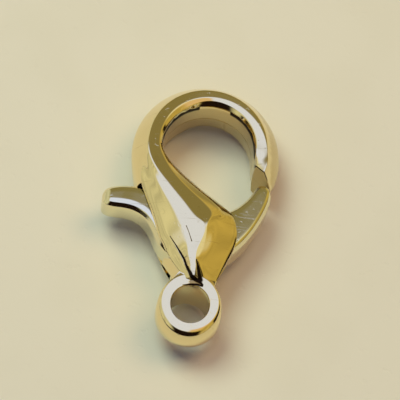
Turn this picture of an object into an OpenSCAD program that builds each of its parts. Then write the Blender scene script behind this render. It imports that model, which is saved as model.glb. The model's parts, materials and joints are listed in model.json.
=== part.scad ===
// Lobster clasp: a cast body with hook, cheeks and ring, and a sprung lever that closes the hook.
// Millimetres. The origin is the centre of the ring, +Y points to the hook, +Z to the front.

/* [Hook and cheeks] */
// Distance from the ring's centre to the centre of the hook's arch
arch_y = 7.25; // [6.4:0.05:8.4]
// Radius of the arch over its outer bulge
arch_r = 3.12; // [2.8:0.02:3.6]
// Radius of the eye inside the arch
eye_r = 1.95; // [1.6:0.05:2.2]
// Radius of the outer edge of the arch's flat face
flat_r = 2.5; // [2.4:0.02:2.7]
// How far the crease of the arch's outer side lies inside its bulge
arch_crease = 0.44; // [0.2:0.01:0.55]
// Half the thickness over the hook's flat faces
flat_z = 1.31; // [1.15:0.01:1.6]
// How far each cheek's ridge stands above the hook's flat face
belly_rise = 0.22; // [0.1:0.01:0.5]
// Height of the eye's wall above the mid-plane, where its bevel starts
rim_z = 0.95; // [0.85:0.01:1.1]
// Width of the eye's bevel at the hook's tip
bevel_tip = 0.36; // [0.2:0.01:0.5]
// Width of the eye's bevel at the back of the arch
bevel_back = 0.13; // [0.08:0.01:0.3]

/* [Ring] */
// Radius of the ring's hole
ring_hole_r = 0.8; // [0.6:0.01:1]
// How far the hole's centre lies toward the hook from the centre of the ring's side
hole_up = 0.12; // [0:0.01:0.2]
// Width of the ring's flat face round the hole
ring_face_w = 0.41; // [0.25:0.01:0.6]
// How far the ring's side bulges past its flat face
ring_bulge = 0.15; // [0.1:0.01:0.4]
// Half the ring's thickness at the centre of its hole
ring_half = 0.88; // [0.7:0.01:1.1]
// Slope of each ring face, thinner toward the free end, in degrees
ring_taper = 7.5; // [0:0.5:12]

/* [Lever] */
// Thickness of the lever
lever_t = 1.5; // [1.2:0.02:1.6]
// Size of the lever's rounded edge
lever_edge = 0.17; // [0.06:0.01:0.25]
// Largest angle that the lever opens to, in degrees
open_angle = 18; // [8:1:20]

/* [Pivot pin and spring] */
// Radius of the pivot pin
pin_r = 0.34; // [0.25:0.01:0.4]
// Thickness of the front cheek left over the pin's blind hole
pin_cover = 0.35; // [0.2:0.01:0.5]
// Radius of the spring's wire
wire_r = 0.06; // [0.04:0.01:0.08]
// Radius of the spring's coil, to the middle of its wire
coil_r = 0.54; // [0.48:0.01:0.6]
// Turns of the spring
coil_turns = 3; // [2:1:3]

/* [Fits] */
// Gap between the lever and each cheek
side_gap = 0.06; // [0.04:0.01:0.12]
// Gap between the lever's tip and the hook's end face
mouth_gap = 0.12; // [0.06:0.01:0.2]
// Radial gap between the pin and the lever's bore
pin_run = 0.03; // [0.02:0.01:0.05]
// Radial gap between the pin and the holes in the cheeks
pin_seat = 0.01; // [0.005:0.005:0.02]
// Gap between the shut lever and the upper end of its slot
stop_gap = 0.08; // [0.05:0.01:0.15]
// Gap between the lever's heel and the floor of the slot
heel_gap = 0.65; // [0.55:0.01:0.8]
// Wall between the ring's hole and the floor of the slot
neck_wall = 0.37; // [0.32:0.01:0.6]

/* [Hidden] */
gold = [0.83, 0.76, 0.55];
steel = [0.7, 0.7, 0.68];

ring_out_r = ring_hole_r + ring_face_w + ring_bulge;
slot_half = lever_t / 2 + side_gap;
slot_floor = ring_hole_r + hole_up + neck_wall;
eye_x = 0.025 * arch_r;
eye_y = 0.982 * arch_y;
pivot = [-0.03 * arch_r, 0.469 * arch_y];
heel_r = pivot.y - slot_floor - heel_gap;

// Where each section crosses the outline (out) and the eye's wall or the cheek's free edge (in),
// as shares of arch_r across and arch_y along. Then shares of the way from out to in: the crease,
// and the outer and inner edge of the flat. Then the shares of belly_rise and of flat_z. Last a point
// of the outer side, as shares of the crease's own way in and height.
OUT_X = 0;
OUT_Y = 1;
IN_X = 2;
IN_Y = 3;
CREASE = 4;
FLAT_OUT = 5;
FLAT_IN = 6;
RISE = 7;
HEIGHT = 8;
SIDE_IN = 9;
SIDE_UP = 10;
tip_rows = [
    [0.91, 0.818, 0.657, 0.910, 0.36, 0.54, 0.60, 0, 0.97, 0.38, 0.5],
    [0.966, 0.876, 0.657, 0.945, 0.35, 0.52, 0.60, 0, 1, 0.38, 0.5],
    [0.993, 0.945, 0.66, 0.970, 0.35, 0.51, 0.64, 0, 1, 0.38, 0.5],
];
cheek_rows = [
    [-0.992, 0.945, -0.572, 0.955, 0.325, 0.45, 0.87, 0, 1, 0.38, 0.5],
    [-0.970, 0.876, -0.513, 0.914, 0.31, 0.44, 0.85, 0.02, 1, 0.32, 0.55],
    [-0.930, 0.807, -0.411, 0.866, 0.275, 0.46, 0.80, 0.08, 1, 0.22, 0.65],
    [-0.882, 0.738, -0.283, 0.818, 0.22, 0.48, 0.775, 0.18, 1, 0.15, 0.76],
    [-0.806, 0.669, -0.128, 0.772, 0.145, 0.495, 0.76, 0.3, 1, 0.12, 0.8],
    [-0.722, 0.600, 0.025, 0.727, 0.12, 0.50, 0.785, 0.42, 1, 0.12, 0.8],
    [-0.650, 0.531, 0.176, 0.686, 0.11, 0.51, 0.81, 0.55, 1, 0.13, 0.78],
    [-0.598, 0.463, 0.311, 0.646, 0.115, 0.525, 0.825, 0.68, 1, 0.15, 0.75],
    [-0.556, 0.404, 0.401, 0.618, 0.125, 0.545, 0.82, 0.8, 1, 0.18, 0.72],
    [-0.532, 0.379, 0.449, 0.594, 0.13, 0.565, 0.72, 0.87, 1, 0.22, 0.7],
    [-0.513, 0.354, 0.487, 0.563, 0.14, 0.573, 0.61, 0.93, 1, 0.27, 0.68],
    [-0.478, 0.310, 0.538, 0.486, 0.165, 0.53, 0.56, 1, 1, 0.33, 0.66],
    [-0.415, 0.269, 0.522, 0.404, 0.195, 0.51, 0.54, 1, 1, 0.36, 0.66],
    [-0.356, 0.230, 0.455, 0.324, 0.23, 0.515, 0.545, 0.9, 1, 0.38, 0.66],
    [-0.311, 0.200, 0.397, 0.262, 0.26, 0.51, 0.55, 0.7, 1, 0.38, 0.66],
    [-0.285, 0.177, 0.359, 0.221, 0.3, 0.49, 0.56, 0.2, 1, 0.38, 0.66],
    [-0.272, 0.154, 0.330, 0.186, 0.36, 0.45, 0.57, 0, 0.95, 0.38, 0.66],
    [-0.262, 0.127, 0.304, 0.141, 0.42, 0.51, 0.57, 0, 0.6, 0.38, 0.66],
];

arch_step = 12;
crease_share = 0.77;
wall_draft = 0.03;

function dir(angle) = [cos(angle), sin(angle)];
function mix(a, b, share) = a + (b - a) * share;
function placed(row, x, y) = [row[x] * arch_r, row[y] * arch_y];

// One section: outer point, inner point, the three shares, the height of the flat, and the side point
function row_section(row) = [
    placed(row, OUT_X, OUT_Y),
    placed(row, IN_X, IN_Y),
    row[CREASE],
    row[FLAT_OUT],
    row[FLAT_IN],
    flat_z * row[HEIGHT] + belly_rise * row[RISE],
    row[SIDE_IN],
    row[SIDE_UP],
];
function arch_section(angle) =
    let(
        out = [0, arch_y] + arch_r * dir(angle),
        in = [eye_x, eye_y] + eye_r * dir(angle),
        width = norm(out - in),
        bevel = mix(bevel_tip, bevel_back, pow(angle / 180, 3))
    )
    [out, in, arch_crease / width, (arch_r - flat_r) / width, 1 - bevel / width, flat_z, 0.38, 0.5];

sections = concat(
    [for (row = tip_rows) row_section(row)],
    [for (angle = [0 : arch_step : 180]) arch_section(angle)],
    [for (row = cheek_rows) row_section(row)]
);

// The closed loop of corners of one section, round from the outermost point over the back
function upper_corners(section) =
    let(
        out = section[0],
        in = section[1],
        top = section[5],
        crease_z = top * crease_share,
        draft = wall_draft / norm(in - out),
        rim = min(rim_z, top * 0.9)
    )
    [
        [section[2] * section[6], crease_z * section[7]],
        [section[2], crease_z],
        [section[3], top],
        [section[4], top],
        [1 - draft, rim],
    ];
function at(section, share, z) =
    let(p = mix(section[0], section[1], share))
    [p.x, p.y, z];
function loop_of(section) =
    let(upper = upper_corners(section), last = len(upper) - 1)
    concat(
        [at(section, 0, 0)],
        [for (c = upper) at(section, c[0], -c[1])],
        [at(section, 1, 0)],
        [for (i = [last : -1 : 0]) at(section, upper[i][0], upper[i][1])]
    );

// A solid through a list of loops that have the same number of points
module skin(loops) {
    n = len(loops[0]);
    rings = len(loops);
    faces = concat(
        [[for (i = [0 : n - 1]) i]],
        [for (r = [0 : rings - 2], i = [0 : n - 1])
            let(j = (i + 1) % n)
            [r * n + j, r * n + i, (r + 1) * n + i]],
        [for (r = [0 : rings - 2], i = [0 : n - 1])
            let(j = (i + 1) % n)
            [r * n + j, (r + 1) * n + i, (r + 1) * n + j]],
        [[for (i = [n - 1 : -1 : 0]) (rings - 1) * n + i]]
    );
    polyhedron(points = [for (l = loops) each l], faces = faces, convexity = 8);
}

// The lever's outline, counter-clockwise, as shares of arch_r across and arch_y along
gate_outer = [
    [0.404, 0.338], [0.519, 0.388], [0.64, 0.452], [0.705, 0.497], [0.785, 0.563],
    [0.859, 0.635], [0.914, 0.704], [0.945, 0.752],
];
gate_inner = [
    [0.757, 0.835], [0.711, 0.814], [0.665, 0.770], [0.593, 0.720], [0.481, 0.670], [0.369, 0.637],
];
lever_top = [[0.19, 0.62], [-0.064, 0.637], [-0.385, 0.683], [-0.705, 0.718], [-0.88, 0.725]];
tab_end = [
    [-1.04, 0.727], [-1.20, 0.709], [-1.305, 0.658], [-1.265, 0.604], [-1.14, 0.589],
];
lever_back = [
    [-1.0, 0.589], [-0.85, 0.574], [-0.725, 0.54], [-0.63, 0.485], [-0.565, 0.425], [-0.5, 0.372],
];

function spread(points) = [for (p = points) [p.x * arch_r, p.y * arch_y]];

// The hook's end face runs between these two points, and the gate's tip follows it
mouth_in = placed(tip_rows[0], IN_X, IN_Y);
mouth_out = placed(tip_rows[0], OUT_X, OUT_Y);
mouth_dir = (mouth_out - mouth_in) / norm(mouth_out - mouth_in);
mouth_back = [mouth_dir.y, -mouth_dir.x];
function gate_tip(share) = mix(mouth_in, mouth_out, share) + mouth_back * mouth_gap;

heel_from = 226;
heel_to = 300;
heel = [for (i = [0 : 6]) pivot + heel_r * dir(mix(heel_from, heel_to, i / 6))];
lever_points = concat(
    spread(lever_top),
    spread(tab_end),
    spread(lever_back),
    heel,
    spread(gate_outer),
    [gate_tip(1.05), gate_tip(0.67)],
    spread(gate_inner)
);

// A smooth closed curve through the points, with the given number of steps from each to the next
function curve_point(a, b, c, d, t) =
    0.5 * (2 * b + (c - a) * t + (2 * a - 5 * b + 4 * c - d) * t * t
        + (3 * b - a - 3 * c + d) * t * t * t);
function smooth_loop(points, steps) =
    let(n = len(points))
    [for (i = [0 : n - 1], s = [0 : steps - 1])
        curve_point(points[(i + n - 1) % n], points[i], points[(i + 1) % n], points[(i + 2) % n], s / steps)];
function inset_loop(points, distance) =
    let(n = len(points))
    [for (i = [0 : n - 1])
        let(
            along = points[(i + 1) % n] - points[(i + n - 1) % n],
            near_tip = min(1, 0.3 + norm(points[i] - gate_tip(0.86)) / arch_r)
        )
        points[i] + near_tip * distance * [-along.y, along.x] / norm(along)];
function lifted(points, z) = [for (p = points) [p.x, p.y, z]];

lever_outline = smooth_loop(lever_points, 3);

// The slot's outline: its ceiling follows the lever's top, the mouth and the right side stay open, and
// the left side is open down to a thin wall round the heel
slot_ceiling = [for (p = spread(lever_top)) p + [0, stop_gap]];
slot_side = 1.3 * arch_r;
wall_from = 226;
wall_to = 254;
wall_from_r = 1.15 * heel_r;
wall_to_r = 1.04 * heel_r;
slot_outline = concat(
    [[0, slot_floor], [0.77 * arch_r, slot_floor + 0.07 * arch_y], [0.77 * arch_r, 0.64 * arch_y]],
    [[0.53 * arch_r, 0.72 * arch_y]],
    [[0.14 * arch_r, 0.76 * arch_y], [0.055 * arch_r, 0.715 * arch_y], [-0.06 * arch_r, 0.69 * arch_y]],
    [for (i = [2 : len(slot_ceiling) - 1]) slot_ceiling[i]],
    [[-slot_side, 0.727 * arch_y + stop_gap], pivot + slot_side * dir(wall_from)],
    [for (i = [0 : 4]) pivot + mix(wall_from_r, wall_to_r, i / 4) * dir(mix(wall_from, wall_to, i / 4))],
    [[-0.5 * ring_hole_r, 1.03 * slot_floor]]
);

// The slit that is left in the wall round the heel, wider toward the ring
slit_top = [-0.487 * arch_r, 0.325 * arch_y];
slit_end = [-0.3 * arch_r, 0.21 * arch_y];
slit_half = 0.048 * arch_r;
slit_length = 0.26 * arch_r;

// The neck between the ring and the cheeks, as shares of the ring's outer radius
neck_outline = [
    [-0.76, 0.5], [0, 0.2], [0.8, 0.5], [0.73, 0.68], [0.59, 0.84], [0.14, 1.04],
    [-0.3, 1.1], [-0.46, 1.1], [-0.57, 0.8],
];

// Half of the ring's form: its flat face is tilted, and its side bulges down to the mid-plane
module ring_side(side) {
    face_r = ring_hole_r + ring_face_w;
    depth = 2 * ring_out_r;
    rotate([side * ring_taper, 0, 0])
        mirror([0, 0, side > 0 ? 0 : 1])
            union() {
                rotate_extrude($fn = 96)
                    polygon(concat(
                        [[0, -depth], [ring_out_r, -depth]],
                        [for (i = [0 : 6]) [face_r + ring_bulge * cos(i * 15), ring_half * sin(i * 15)]],
                        [[0, ring_half]]
                    ));
                translate([0, 0, ring_half - depth])
                    linear_extrude(height = depth)
                        polygon([for (p = neck_outline) p * ring_out_r]);
            }
}
module ring() {
    intersection() {
        ring_side(1);
        ring_side(-1);
    }
}

module slit() {
    run = slit_end - slit_top;
    translate([slit_top.x, slit_top.y, 0])
        rotate([90, 0, atan2(run.y, run.x)])
            linear_extrude(height = slit_length, center = true)
                polygon([[0, 0], [norm(run), -slit_half], [norm(run), slit_half]]);
}

module body() {
    color(gold)
        difference() {
            union() {
                skin([for (s = sections) loop_of(s)]);
                ring();
            }
            translate([0, hole_up, 0])
                cylinder(h = 4 * flat_z, r = ring_hole_r, center = true, $fn = 96);
            translate([0, 0, -slot_half])
                linear_extrude(height = 2 * slot_half)
                    polygon(slot_outline);
            slit();
            translate([pivot.x, pivot.y, -2 * flat_z])
                cylinder(h = 3 * flat_z + belly_rise - pin_cover, r = pin_r + pin_seat, $fn = 48);
        }
}

pin_top = flat_z + belly_rise - pin_cover;
pin_sunk = 0.02;
coil_pitch = 2.3 * wire_r;
coil_gap = 0.12;
leg_gap = 0.05;
pocket_r = coil_r + wire_r + coil_gap;
pocket_depth = coil_pitch * coil_turns + 2 * wire_r + 2 * leg_gap;
leg_down = pivot.y - slot_floor - wire_r - leg_gap;
leg_up = coil_r + 2 * coil_gap;

// Where the spring sits: a round pocket, a groove for the leg that bears on the lever, and a notch
// that leaves the leg on the slot's floor free while the lever swings past it
module spring_space() {
    half_leg = wire_r + leg_gap;
    swept = dir(270 + asin(coil_r / norm([coil_r, leg_down])) - open_angle) * 2 * heel_r;
    linear_extrude(height = lever_t)
        union() {
            circle(r = pocket_r, $fn = 48);
            translate([coil_r - half_leg, 0])
                square([2 * half_leg, leg_up + leg_gap]);
            polygon([
                [coil_r + half_leg, 0], [-0.5 * coil_r, 0],
                swept - [2 * half_leg, 0], [coil_r + half_leg, -2 * heel_r],
            ]);
        }
}

module lever() {
    half = lever_t / 2;
    levels = [
        [-half, lever_edge], [-half + 0.3 * lever_edge, 0.3 * lever_edge], [-half + lever_edge, 0],
        [half - lever_edge, 0], [half - 0.3 * lever_edge, 0.3 * lever_edge], [half, lever_edge],
    ];
    color(gold)
        difference() {
            skin([for (l = levels) lifted(inset_loop(lever_outline, l[1]), l[0])]);
            translate([pivot.x, pivot.y, 0])
                cylinder(h = 2 * lever_t, r = pin_r + pin_run, center = true, $fn = 48);
            translate([pivot.x, pivot.y, half - pocket_depth])
                spring_space();
        }
}

module pivot_pin() {
    bottom = flat_z - pin_sunk;
    color(steel)
        translate([pivot.x, pivot.y, -bottom])
            cylinder(h = bottom + pin_top - pin_sunk, r = pin_r, $fn = 48);
}

// One round of corners across the wire, at an angle round the pin, moved along by slide
module return_spring() {
    sides = 6;
    steps = 14;
    start_z = lever_t / 2 - pocket_depth + wire_r + leg_gap;
    function wire_loop(angle, z, slide) = [for (i = [0 : sides - 1])
        let(
            a = 360 * i / sides,
            spot = pivot + (coil_r + wire_r * cos(a)) * dir(angle) + [0, slide]
        )
        [spot.x, spot.y, z + wire_r * sin(a)]];
    end_z = start_z + coil_pitch * coil_turns;
    color(steel)
        skin(concat(
            [wire_loop(0, start_z, -leg_down)],
            [for (k = [0 : steps * coil_turns]) wire_loop(360 * k / steps, start_z + coil_pitch * k / steps, 0)],
            [wire_loop(0, end_z, leg_up)]
        ));
}

body();
lever();
pivot_pin();
return_spring();
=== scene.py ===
"""Looks of the lobster clasp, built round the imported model.

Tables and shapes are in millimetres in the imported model's frame; finished meshes are turned into metres.
"""
import json
import math

import bmesh
import bpy
from mathutils import Matrix, Vector


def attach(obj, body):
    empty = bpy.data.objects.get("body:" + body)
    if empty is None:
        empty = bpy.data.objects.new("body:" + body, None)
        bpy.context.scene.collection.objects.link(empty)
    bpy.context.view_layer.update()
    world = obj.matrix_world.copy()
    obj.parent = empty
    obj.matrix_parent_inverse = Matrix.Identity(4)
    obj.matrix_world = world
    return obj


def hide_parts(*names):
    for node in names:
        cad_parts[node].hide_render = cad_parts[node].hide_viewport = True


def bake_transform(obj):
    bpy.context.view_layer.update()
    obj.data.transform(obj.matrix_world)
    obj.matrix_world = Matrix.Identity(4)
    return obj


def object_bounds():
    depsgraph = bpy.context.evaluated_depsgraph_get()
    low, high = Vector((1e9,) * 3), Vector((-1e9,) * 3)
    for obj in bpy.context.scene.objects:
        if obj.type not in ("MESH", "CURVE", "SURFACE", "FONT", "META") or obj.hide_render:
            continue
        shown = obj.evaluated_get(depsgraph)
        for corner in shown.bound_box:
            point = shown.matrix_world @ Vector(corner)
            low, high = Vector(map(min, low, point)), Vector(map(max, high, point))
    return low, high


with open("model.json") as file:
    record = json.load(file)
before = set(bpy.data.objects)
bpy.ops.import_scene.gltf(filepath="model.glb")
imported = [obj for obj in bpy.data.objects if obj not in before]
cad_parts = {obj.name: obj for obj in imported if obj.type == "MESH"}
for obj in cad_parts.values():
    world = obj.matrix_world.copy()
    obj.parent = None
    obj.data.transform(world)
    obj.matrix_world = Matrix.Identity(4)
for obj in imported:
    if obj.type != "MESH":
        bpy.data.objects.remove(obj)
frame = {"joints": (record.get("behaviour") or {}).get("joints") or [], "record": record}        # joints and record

cad_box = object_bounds()
TO_METRES = 0.001


def in_millimetres(point):
    """A point of the frame, which is in metres, as a place in millimetres."""
    return Vector([round(value / TO_METRES, 6) for value in point])


def around(centre, radius, angle):
    """The point in plan at an angle in degrees and a distance from a centre."""
    turn = math.radians(angle)
    return centre + radius * Vector((math.cos(turn), math.sin(turn)))


def kept_in(value):
    """The value, kept between 0 and 1."""
    return max(0.0, min(1.0, value))


# Where the parts meet
mounts = {mount["name"]: mount for mount in frame["record"]["mounts"]}
joints = {joint["name"]: joint for joint in frame["joints"]}
FLOOR_LEVEL = in_millimetres(cad_box[0]).z
PIVOT = in_millimetres(joints["lever_pivot"]["pos_m"]).to_2d()
EYE_CENTRE = in_millimetres(mounts["hook_eye"]["pos_m"]).to_2d()
EYE_RADIUS = 1.95
HOLE_CENTRE = in_millimetres(mounts["ring_bore"]["pos_m"]).to_2d()
ARCH_CENTRE = Vector((0.0, 7.25))
ARCH_RADIUS = 3.12
FLAT_RADIUS = 2.5
FLAT_TOP = 1.31
SLOT_HALF = 0.81
# How far the smoothing draws the arch's outline in
SMOOTHING_ALLOWANCE = 0.06
SMOOTH_LEVELS = 3
# Points that lie nearer than this are one point, of a spun solid and of a finished mesh
SEAM_DISTANCE = 0.0005
MERGE_DISTANCE = 0.0004
# Edges that turn by more degrees than this are shaded as sharp, by piece
BODY_SHARP_ANGLE = 38
LEVER_SHARP_ANGLE = 40
SMALL_SHARP_ANGLE = 50

# The photograph's view: the way from the clasp to the camera, the picture's right and up, and what it shows
TO_CAMERA = Vector((-0.0449, -0.4202, 0.9063))
PICTURE_RIGHT = Vector((0.9905, 0.0993, 0.0951))
PICTURE_UP = Vector((-0.1299, 0.902, 0.4118))
PICTURE_WIDTH = 16.67
PICTURE_CENTRE = Vector((-0.02, 5.26, 0.0))
CAMERA_LENS = 600.0
SENSOR_WIDTH = 36.0
CLIP_NEAR = 0.01
CLIP_FAR = 10.0
FLOOR_HALF = 0.6


# Making and finishing meshes

def loop_vertices(bm, points):
    """A closed loop of edges through the points."""
    verts = [bm.verts.new(p) for p in points]
    edges = [bm.edges.new((verts[i - 1], verts[i])) for i in range(len(verts))]
    return verts, edges


def vertices_of(geometry):
    """The vertices among what a bmesh operator gives."""
    return [part for part in geometry if isinstance(part, bmesh.types.BMVert)]


def edges_of(geometry):
    """The edges among what a bmesh operator gives."""
    return [part for part in geometry if isinstance(part, bmesh.types.BMEdge)]


def loft(loops, sharpness, across=None, end_sharpness=(1.0, 1.0)):
    """A closed tube through loops of points, each line of points as sharp as its stations say.

    across gives the sharpness of whole loops by their index.
    """
    bm = bmesh.new()
    crease = bm.edges.layers.float.new("crease_edge")
    rings = [loop_vertices(bm, points) for points in loops]
    for (_, first), (_, second) in zip(rings, rings[1:]):
        bmesh.ops.bridge_loops(bm, edges=first + second)
    for index in range(len(rings) - 1):
        for line, (a, b) in enumerate(zip(rings[index][0], rings[index + 1][0])):
            edge = bm.edges.get((a, b))
            if edge is not None:
                edge[crease] = 0.5 * (sharpness[index][line] + sharpness[index + 1][line])
    for index, value in (across or {}).items():
        for edge in rings[index][1]:
            edge[crease] = value
    for (_, edges), value in ((rings[0], end_sharpness[0]), (rings[-1], end_sharpness[1])):
        bmesh.ops.contextual_create(bm, geom=edges)
        for edge in edges:
            edge[crease] = value
    bmesh.ops.recalc_face_normals(bm, faces=bm.faces[:])
    return bm


def new_object(name, bm):
    """The bmesh as an object of its own."""
    mesh = bpy.data.meshes.new(name)
    bm.to_mesh(mesh)
    bm.free()
    obj = bpy.data.objects.new(name, mesh)
    bpy.context.scene.collection.objects.link(obj)
    return obj


def applied(obj):
    """The object with its modifiers applied."""
    graph = bpy.context.evaluated_depsgraph_get()
    mesh = bpy.data.meshes.new_from_object(obj.evaluated_get(graph))
    obj.modifiers.clear()
    obj.data = mesh
    return obj


def smoothed(obj):
    """The object after subdivision, which keeps the sharp lines."""
    modifier = obj.modifiers.new("smooth", "SUBSURF")
    modifier.levels = SMOOTH_LEVELS
    modifier.render_levels = SMOOTH_LEVELS
    return applied(obj)


def combined(obj, other, how):
    """Adds the other solid to the object or cuts it away, and removes the other."""
    modifier = obj.modifiers.new(how, "BOOLEAN")
    modifier.operation = how
    modifier.solver = "EXACT"
    modifier.object = other
    applied(obj)
    bpy.data.objects.remove(other)
    return obj


def prism(name, outline, low, high):
    """A straight solid over an outline in plan."""
    bm = bmesh.new()
    base = bm.faces.new([bm.verts.new((x, y, low)) for x, y in outline])
    grown = bmesh.ops.extrude_face_region(bm, geom=[base])["geom"]
    bmesh.ops.translate(bm, verts=vertices_of(grown), vec=(0, 0, high - low))
    bmesh.ops.recalc_face_normals(bm, faces=bm.faces[:])
    return new_object(name, bm)


def round_bar(name, radius, low, high, steps=64):
    """A round solid along the pivot's axis."""
    bm = bmesh.new()
    bmesh.ops.create_cone(bm, cap_ends=True, segments=steps, radius1=radius, radius2=radius,
                          depth=high - low)
    bmesh.ops.translate(bm, verts=bm.verts, vec=(PIVOT.x, PIVOT.y, (low + high) / 2))
    return new_object(name, bm)


def spun(name, outline, steps=96):
    """A solid spun round Z from an outline of radius and height. One that starts on the axis ends there."""
    bm = bmesh.new()
    _, edges = loop_vertices(bm, [(r, 0, z) for r, z in outline])
    if outline[0][0] == 0:
        bm.edges.remove(edges.pop(0))
    bmesh.ops.spin(bm, geom=bm.verts[:] + edges, cent=(0, 0, 0), axis=(0, 0, 1), angle=2 * math.pi,
                   steps=steps, use_merge=True)
    bmesh.ops.remove_doubles(bm, verts=bm.verts, dist=SEAM_DISTANCE)
    bmesh.ops.recalc_face_normals(bm, faces=bm.faces[:])
    return new_object(name, bm)


def finished(obj, body, slot, material, sharp_angle, *nodes):
    """Turns the piece into metres, smooths its shading, gives it its material, hangs it on the body it rides
    on and hides the imported parts it takes the place of.
    """
    bm = bmesh.new()
    bm.from_mesh(obj.data)
    bmesh.ops.remove_doubles(bm, verts=bm.verts, dist=MERGE_DISTANCE)
    bmesh.ops.dissolve_degenerate(bm, dist=MERGE_DISTANCE, edges=bm.edges)
    bmesh.ops.scale(bm, vec=(TO_METRES,) * 3, verts=bm.verts)
    for face in bm.faces:
        face.smooth = True
    for edge in bm.edges:
        edge.smooth = len(edge.link_faces) == 2 and edge.calc_face_angle() < math.radians(sharp_angle)
    bm.to_mesh(obj.data)
    bm.free()
    obj.data.materials.clear()
    obj.data.materials.append(material)
    if body:
        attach(obj, body)
    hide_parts(*nodes)
    return obj


# Camera, floor and light

def build_camera():
    """The camera at the photograph's angle, far off with a long lens, as the photograph has it."""
    data = bpy.data.cameras.new("camera")
    data.lens = CAMERA_LENS
    data.sensor_width = SENSOR_WIDTH
    data.clip_start = CLIP_NEAR
    data.clip_end = CLIP_FAR
    camera = bpy.data.objects.new("camera", data)
    bpy.context.scene.collection.objects.link(camera)
    distance = CAMERA_LENS / SENSOR_WIDTH * PICTURE_WIDTH
    turn = Matrix((PICTURE_RIGHT, PICTURE_UP, TO_CAMERA)).transposed().to_4x4()
    place = (PICTURE_CENTRE + TO_CAMERA * distance) * TO_METRES
    camera.matrix_world = Matrix.Translation(place) @ turn
    bpy.context.scene.camera = camera


def build_floor(material):
    """The pale table that the clasp lies on."""
    bm = bmesh.new()
    bmesh.ops.create_grid(bm, x_segments=1, y_segments=1, size=FLOOR_HALF)
    bmesh.ops.translate(bm, verts=bm.verts, vec=(0, 0, FLOOR_LEVEL * TO_METRES))
    floor = new_object("floor", bm)
    floor.data.materials.append(material)


# The square lights over the table, in metres
LIGHTS = {
    # place, what it shines at, side of its square, power, colour
    "cool_key": ((-0.085, 0.068, 0.20), (0, 0.005, 0), 0.12, 0.31, (0.90, 0.985, 0.69)),
    "warm_fill": ((0.085, 0.060, 0.20), (0, 0.005, 0), 0.12, 0.165, (1.0, 0.62, 0.26)),
    "overhead": ((0, 0, 0.22), (0, 0, 0), 0.05, 0.032, (1.0, 0.94, 0.60)),
}


def build_lights():
    """The lights over the table. The metal mirrors the surroundings and not these."""
    for name, (place, aim, side, power, colour) in LIGHTS.items():
        data = bpy.data.lights.new(name, "AREA")
        data.shape = "RECTANGLE"
        data.size = side
        data.size_y = side
        data.energy = power
        data.color = colour
        light = bpy.data.objects.new(name, data)
        bpy.context.scene.collection.objects.link(light)
        turn = (Vector(aim) - Vector(place)).to_track_quat("-Z", "Y").to_matrix().to_4x4()
        light.matrix_world = Matrix.Translation(Vector(place)) @ turn
        light.visible_glossy = False


class Graph:
    """A short way to add and join shader nodes."""

    def __init__(self, tree):
        self.tree = tree
        self.tree.nodes.clear()

    def put(self, socket, value):
        """Joins a socket to another one, or gives it a value."""
        if isinstance(value, bpy.types.NodeSocket):
            self.tree.links.new(value, socket)
        else:
            socket.default_value = value

    def add(self, kind, inputs=None, **settings):
        """A new node with its settings and with its inputs joined or set."""
        node = self.tree.nodes.new(kind)
        for name, value in settings.items():
            setattr(node, name, value)
        for name, value in (inputs or {}).items():
            self.put(node.inputs[name], value)
        return node

    def math(self, operation, *values):
        node = self.add("ShaderNodeMath", operation=operation)
        for index, value in enumerate(values):
            self.put(node.inputs[index], value)
        return node.outputs[0]

    def product(self, first, *others):
        """All the values multiplied."""
        for value in others:
            first = self.math("MULTIPLY", first, value)
        return first

    def vector(self, operation, one, two=None):
        inputs = {0: one} if two is None else {0: one, 1: two}
        return self.add("ShaderNodeVectorMath", inputs, operation=operation)

    def scaled(self, vector, factor):
        node = self.vector("SCALE", vector)
        self.put(node.inputs["Scale"], factor)
        return node.outputs[0]

    def rise(self, value, low, high):
        """From 0 below low to 1 above high, smoothly."""
        node = self.add("ShaderNodeMapRange", {"Value": value, "From Min": low, "From Max": high},
                        interpolation_type="SMOOTHSTEP")
        return node.outputs["Result"]

    def mix(self, share, first, second):
        """The first colour, and more of the second as the share grows."""
        node = self.add("ShaderNodeMix", data_type="RGBA")
        for index, value in ((0, share), (6, first), (7, second)):
            self.put(node.inputs[index], (*value, 1.0) if isinstance(value, tuple) else value)
        return node.outputs[2]

    def noise(self, place, scale, detail, **more):
        inputs = {"Vector": place, "Scale": scale, "Detail": detail, **more}
        return self.add("ShaderNodeTexNoise", inputs).outputs[0]

    def height(self, place):
        return self.add("ShaderNodeSeparateXYZ", {"Vector": place}).outputs["Z"]


# What the polished metal mirrors: a cool light box overhead, warm walls, and a dark front
BOX_COLOUR = (0.76, 0.86, 1.34)
BOX_WARM_EDGE = (0.80, 0.76, 0.54)
PEACH_EDGE = (0.76, 0.55, 0.32)
LEFT_WALL = (0.62, 0.61, 0.44)
RIGHT_WALL = (0.53, 0.40, 0.105)
RIGHT_LOW_WALL = (0.50, 0.42, 0.20)
BACK_WALL = (0.25, 0.213, 0.09)
DARK_FRONT = (0.012, 0.006, 0.004)
# What the dull floor is lit by beside the lights
SOFT_AMBIENT = (0.03, 0.03, 0.10)

# Where one part of the surroundings gives way to the next, from none of it to all of it, along x, y or z of
# the way out from the clasp
LEFT_TO_RIGHT = (-0.5, 0.45)
HIGH_TO_LOW = (0.45, 0.15)
STREAKS = (13.0, 3.0, 3.0)
STREAK_DETAIL = 1.5
DARKEST_STREAK = 0.50
BACK_FROM = (0.28, 0.4)
BACK_LEFT = (-0.7, -0.45)
BACK_RIGHT = (0.33, 0.14)
FAR_BACK_FROM = (0.72, 0.85)
FAR_BACK_TOP = (0.5, 0.35)
FAR_BACK_RIGHT = (0.5, 0.25)
FRONT_FROM = (0.14, 0.02)
FRONT_TOP = (0.70, 0.64)
FRONT_LEFT = (-0.6, -0.4)
FRONT_RIGHT = (0.62, 0.46)
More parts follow.
